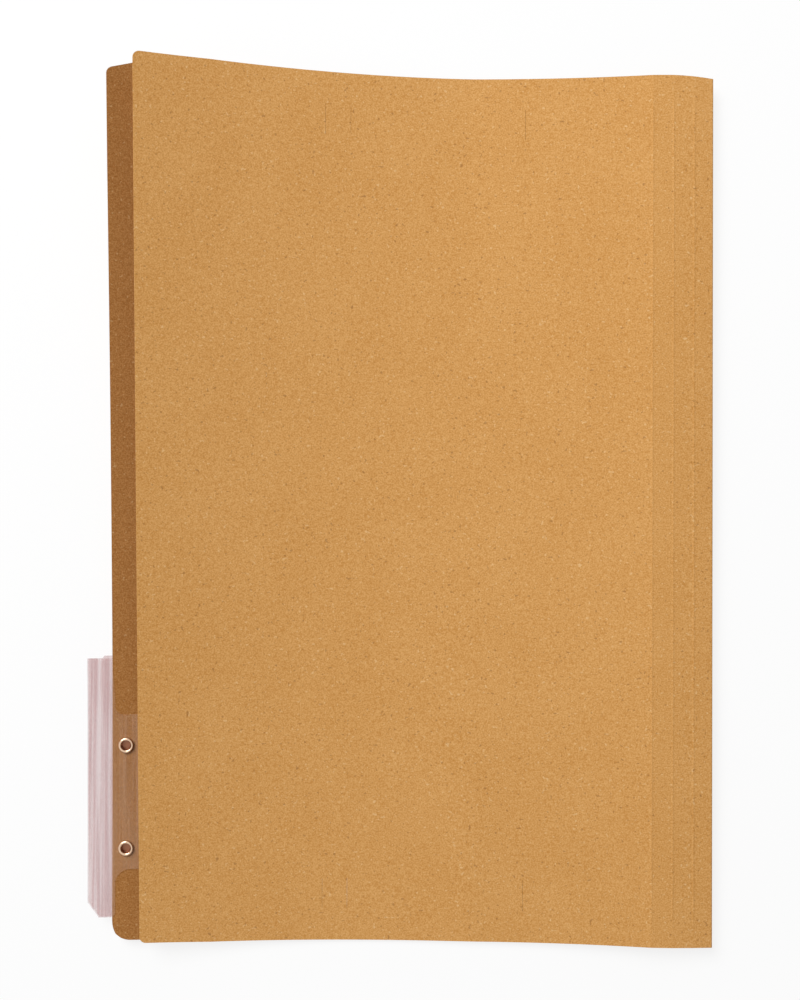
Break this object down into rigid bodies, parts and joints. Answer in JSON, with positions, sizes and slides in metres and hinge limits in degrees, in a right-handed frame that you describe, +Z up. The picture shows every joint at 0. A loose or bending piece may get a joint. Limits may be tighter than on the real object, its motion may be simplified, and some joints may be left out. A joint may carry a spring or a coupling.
{
  "type": "fastener folder",
  "caption": "Kraft card file folder lying slightly open, with a scored fold, slits for a paper fastener and a clear index tab riveted to the lip of its back cover.",
  "frame": {"origin": "middle of the bounding box's underside, on the surface that the folder lies on", "axes": "+Z up, +X towards the fold, +Y along the fold towards the folder's top end"},
  "size_m": [0.2462, 0.345, 0.0355],
  "materials": {
    "kraft_outer": "matt kraft card, outer face",
    "kraft_inner": "matt kraft card, darker inner face",
    "clear_film": "clear glossy film with a faint warm tint",
    "nickel": "bright warm nickel plate"
  },
  "bodies": {
    "back": {"back_cover": "kraft_inner", "index_tab": "clear_film", "upper_rivet": "nickel", "lower_rivet": "nickel"},
    "front": {"front_cover": "kraft_outer"}
  },
  "joints": [
    {"name": "cover_hinge", "type": "hinge", "parent": "back", "child": "front", "pos_m": [0.1231, 0, 0.00632], "axis": [0, 1, 0], "range_deg": [0, 172]}
  ]
}
